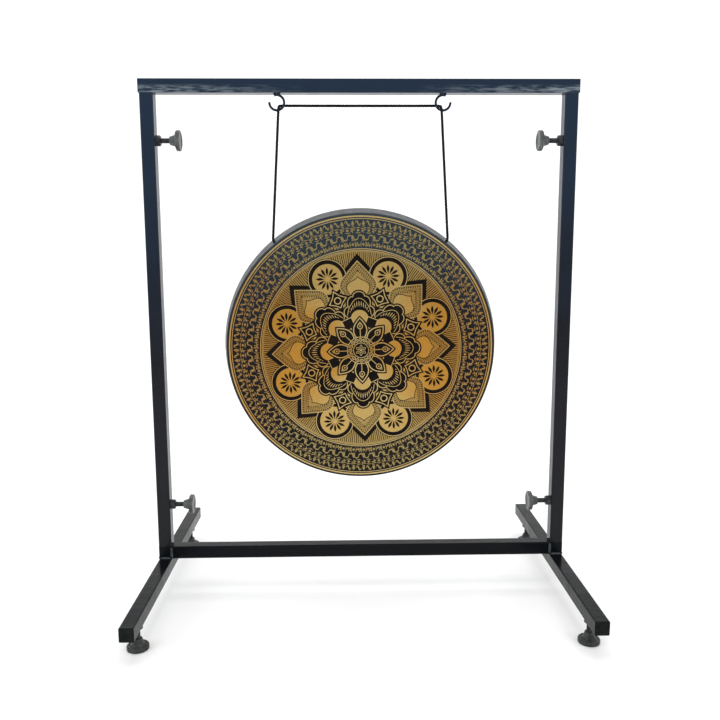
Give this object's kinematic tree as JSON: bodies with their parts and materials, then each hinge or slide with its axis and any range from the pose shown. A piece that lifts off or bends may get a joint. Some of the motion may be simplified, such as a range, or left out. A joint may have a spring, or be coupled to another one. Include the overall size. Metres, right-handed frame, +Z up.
{
  "type": "tam tam gong",
  "caption": "Round hammered tam tam gong hung by a black cord from hooks on a knock-down square-tube stand with clamp screws and levelling feet.",
  "frame": {"origin": "on the floor, midway between the two posts and in their plane", "axes": "+Z up, +X to the right seen from the player's side, the gong's face looks along -Y"},
  "size_m": [0.813, 0.575, 0.98],
  "materials": {
    "frame_paint": "black gloss enamel over steel tube",
    "hardware_black": "blackened screw threads and nuts",
    "knob_black": "black moulded disc, satin to gloss",
    "cap_black": "black pressed end cap",
    "gong_bronze": "hammered bronze, blackened and engraved in gold",
    "cord_braid": "black laid cord"
  },
  "bodies": {
    "base": {"crossbar": "frame_paint", "post_block_left": "frame_paint", "lower_spigot_left": "frame_paint", "foot_bar_left": "frame_paint", "post_block_right": "frame_paint", "lower_spigot_right": "frame_paint", "foot_bar_right": "frame_paint", "foot_cap_front_left": "cap_black", "foot_nut_front_left": "hardware_black", "foot_cap_back_left": "cap_black", "foot_nut_back_left": "hardware_black", "foot_cap_front_right": "cap_black", "foot_nut_front_right": "hardware_black", "foot_cap_back_right": "cap_black", "foot_nut_back_right": "hardware_black"},
    "top_frame": {"top_rail": "frame_paint", "rail_cap_left": "cap_black", "upper_spigot_left": "frame_paint", "hook_left": "frame_paint", "rail_cap_right": "cap_black", "upper_spigot_right": "frame_paint", "hook_right": "frame_paint"},
    "suspension": {"hanging_cord": "cord_braid", "cord_knot_left": "cord_braid", "cord_knot_right": "cord_braid"},
    "gong": {"gong": "gong_bronze"},
    "left_post": {"post_left": "frame_paint", "clamp_nut_upper_left": "hardware_black", "clamp_nut_lower_left": "hardware_black"},
    "right_post": {"post_right": "frame_paint", "clamp_nut_upper_right": "hardware_black", "clamp_nut_lower_right": "hardware_black"},
    "clamp_screw_upper_left": {"clamp_stud_upper_left": "hardware_black"},
    "clamp_grip_upper_left": {"clamp_knob_upper_left": "knob_black"},
    "clamp_screw_lower_left": {"clamp_stud_lower_left": "hardware_black"},
    "clamp_grip_lower_left": {"clamp_knob_lower_left": "knob_black"},
    "clamp_screw_upper_right": {"clamp_stud_upper_right": "hardware_black"},
    "clamp_grip_upper_right": {"clamp_knob_upper_right": "knob_black"},
    "clamp_screw_lower_right": {"clamp_stud_lower_right": "hardware_black"},
    "clamp_grip_lower_right": {"clamp_knob_lower_right": "knob_black"},
    "foot_screw_front_left": {"foot_stud_front_left": "hardware_black"},
    "foot_disc_front_left": {"foot_pad_front_left": "knob_black"},
    "foot_screw_back_left": {"foot_stud_back_left": "hardware_black"},
    "foot_disc_back_left": {"foot_pad_back_left": "knob_black"},
    "foot_screw_front_right": {"foot_stud_front_right": "hardware_black"},
    "foot_disc_front_right": {"foot_pad_front_right": "knob_black"},
    "foot_screw_back_right": {"foot_stud_back_right": "hardware_black"},
    "foot_disc_back_right": {"foot_pad_back_right": "knob_black"}
  },
  "joints": [
    {"name": "left_post_lift", "type": "slide", "parent": "base", "child": "left_post", "axis": [0, 0, 1], "range_m": [0, 0.1]},
    {"name": "right_post_lift", "type": "slide", "parent": "base", "child": "right_post", "axis": [0, 0, 1], "range_m": [0, 0.1]},
    {"name": "top_frame_lift", "type": "slide", "parent": "left_post", "child": "top_frame", "axis": [0, 0, 1], "range_m": [0, 0.1]},
    {"name": "cord_swing", "type": "hinge", "parent": "top_frame", "child": "suspension", "pos_m": [0, 0, 0.933], "axis": [1, 0, 0], "range_deg": [-25, 25], "deforming": ["hanging_cord"]},
    {"name": "gong_tilt", "type": "hinge", "parent": "suspension", "child": "gong", "pos_m": [0, 0, 0.687], "axis": [1, 0, 0], "range_deg": [-12, 12]},
    {"name": "clamp_upper_left_travel", "type": "slide", "parent": "left_post", "child": "clamp_screw_upper_left", "axis": [1, 0, 0], "range_m": [0, 0.00751]},
    {"name": "clamp_upper_left_turn", "type": "hinge", "parent": "clamp_screw_upper_left", "child": "clamp_grip_upper_left", "pos_m": [-0.375, 0, 0.872], "axis": [1, 0, 0], "range_deg": [0, 1800]},
    {"name": "clamp_lower_left_travel", "type": "slide", "parent": "left_post", "child": "clamp_screw_lower_left", "axis": [1, 0, 0], "range_m": [0, 0.00751]},
    {"name": "clamp_lower_left_turn", "type": "hinge", "parent": "clamp_screw_lower_left", "child": "clamp_grip_lower_left", "pos_m": [-0.375, 0, 0.178], "axis": [1, 0, 0], "range_deg": [0, 1800]},
    {"name": "clamp_upper_right_travel", "type": "slide", "parent": "right_post", "child": "clamp_screw_upper_right", "axis": [-1, 0, 0], "range_m": [0, 0.00751]},
    {"name": "clamp_upper_right_turn", "type": "hinge", "parent": "clamp_screw_upper_right", "child": "clamp_grip_upper_right", "pos_m": [0.375, 0, 0.872], "axis": [-1, 0, 0], "range_deg": [0, 1800]},
    {"name": "clamp_lower_right_travel", "type": "slide", "parent": "right_post", "child": "clamp_screw_lower_right", "axis": [-1, 0, 0], "range_m": [0, 0.00751]},
    {"name": "clamp_lower_right_turn", "type": "hinge", "parent": "clamp_screw_lower_right", "child": "clamp_grip_lower_right", "pos_m": [0.375, 0, 0.178], "axis": [-1, 0, 0], "range_deg": [0, 1800]},
    {"name": "foot_front_left_travel", "type": "slide", "parent": "base", "child": "foot_screw_front_left", "axis": [0, 0, -1], "range_m": [-0.00751, 0.00601]},
    {"name": "foot_front_left_turn", "type": "hinge", "parent": "foot_screw_front_left", "child": "foot_disc_front_left", "pos_m": [-0.3875, -0.225, 0.02], "axis": [0, 0, -1], "range_deg": [-1800, 1440]},
    {"name": "foot_back_left_travel", "type": "slide", "parent": "base", "child": "foot_screw_back_left", "axis": [0, 0, -1], "range_m": [-0.00751, 0.00601]},
    {"name": "foot_back_left_turn", "type": "hinge", "parent": "foot_screw_back_left", "child": "foot_disc_back_left", "pos_m": [-0.3875, 0.225, 0.02], "axis": [0, 0, -1], "range_deg": [-1800, 1440]},
    {"name": "foot_front_right_travel", "type": "slide", "parent": "base", "child": "foot_screw_front_right", "axis": [0, 0, -1], "range_m": [-0.00751, 0.00601]},
    {"name": "foot_front_right_turn", "type": "hinge", "parent": "foot_screw_front_right", "child": "foot_disc_front_right", "pos_m": [0.3875, -0.225, 0.02], "axis": [0, 0, -1], "range_deg": [-1800, 1440]},
    {"name": "foot_back_right_travel", "type": "slide", "parent": "base", "child": "foot_screw_back_right", "axis": [0, 0, -1], "range_m": [-0.00751, 0.00601]},
    {"name": "foot_back_right_turn", "type": "hinge", "parent": "foot_screw_back_right", "child": "foot_disc_back_right", "pos_m": [0.3875, 0.225, 0.02], "axis": [0, 0, -1], "range_deg": [-1800, 1440]}
  ],
  "couplings": [
    {"joint": "right_post_lift", "follows": "left_post_lift", "ratio": 1},
    {"joint": "clamp_upper_left_travel", "follows": "clamp_upper_left_turn", "m_per_rad": 0.00023873},
    {"joint": "clamp_lower_left_travel", "follows": "clamp_lower_left_turn", "m_per_rad": 0.00023873},
    {"joint": "clamp_upper_right_travel", "follows": "clamp_upper_right_turn", "m_per_rad": 0.00023873},
    {"joint": "clamp_lower_right_travel", "follows": "clamp_lower_right_turn", "m_per_rad": 0.00023873},
    {"joint": "foot_front_left_travel", "follows": "foot_front_left_turn", "m_per_rad": 0.00023873},
    {"joint": "foot_back_left_travel", "follows": "foot_back_left_turn", "m_per_rad": 0.00023873},
    {"joint": "foot_front_right_travel", "follows": "foot_front_right_turn", "m_per_rad": 0.00023873},
    {"joint": "foot_back_right_travel", "follows": "foot_back_right_turn", "m_per_rad": 0.00023873}
  ]
}
